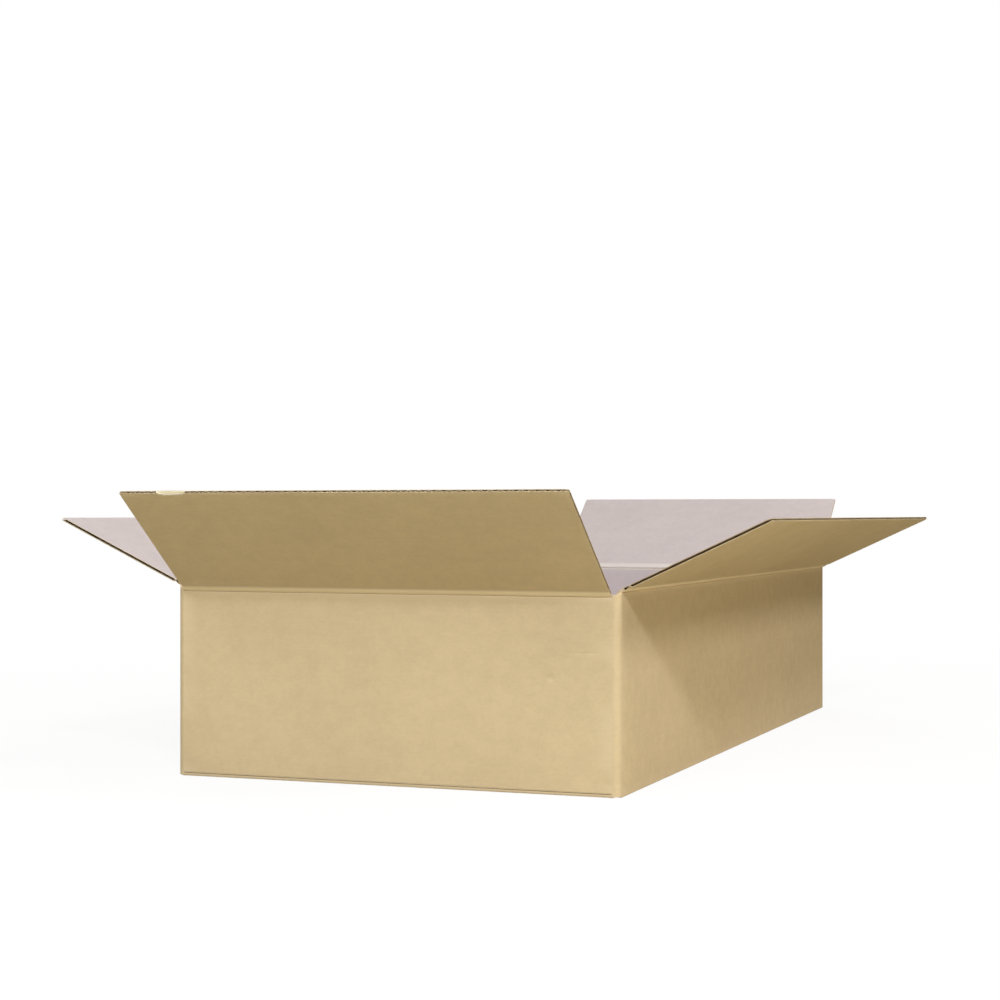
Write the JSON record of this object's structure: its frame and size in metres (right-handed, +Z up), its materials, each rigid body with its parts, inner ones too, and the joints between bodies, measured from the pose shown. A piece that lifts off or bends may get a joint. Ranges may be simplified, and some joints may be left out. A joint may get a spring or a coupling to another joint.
{
  "type": "cardboard shipping box",
  "caption": "Long, low slotted carton of kraft corrugated board, standing open with short top flaps that lean outwards and hinge on their creases.",
  "frame": {"origin": "on the floor, under the middle of the box", "axes": "+Z up, +Y along the long walls towards the back flap, +X across the short walls towards the right flap"},
  "size_m": [0.4824, 0.7592, 0.1838],
  "materials": {
    "kraft_board": "matte"
  },
  "bodies": {
    "box": {"box_body": "kraft_board"},
    "front": {"front_flap": "kraft_board"},
    "back": {"back_flap": "kraft_board"},
    "left": {"left_flap": "kraft_board"},
    "right": {"right_flap": "kraft_board"}
  },
  "joints": [
    {"name": "front_crease", "type": "hinge", "parent": "box", "child": "front", "pos_m": [0, -0.3, 0.1212], "axis": [1, 0, 0], "range_deg": [-142, 83]},
    {"name": "back_crease", "type": "hinge", "parent": "box", "child": "back", "pos_m": [0, 0.3, 0.1212], "axis": [-1, 0, 0], "range_deg": [-142, 83]},
    {"name": "left_crease", "type": "hinge", "parent": "box", "child": "left", "pos_m": [-0.15, 0, 0.124], "axis": [0, -1, 0], "range_deg": [-155, 70]},
    {"name": "right_crease", "type": "hinge", "parent": "box", "child": "right", "pos_m": [0.15, 0, 0.124], "axis": [0, 1, 0], "range_deg": [-155, 70]}
  ]
}
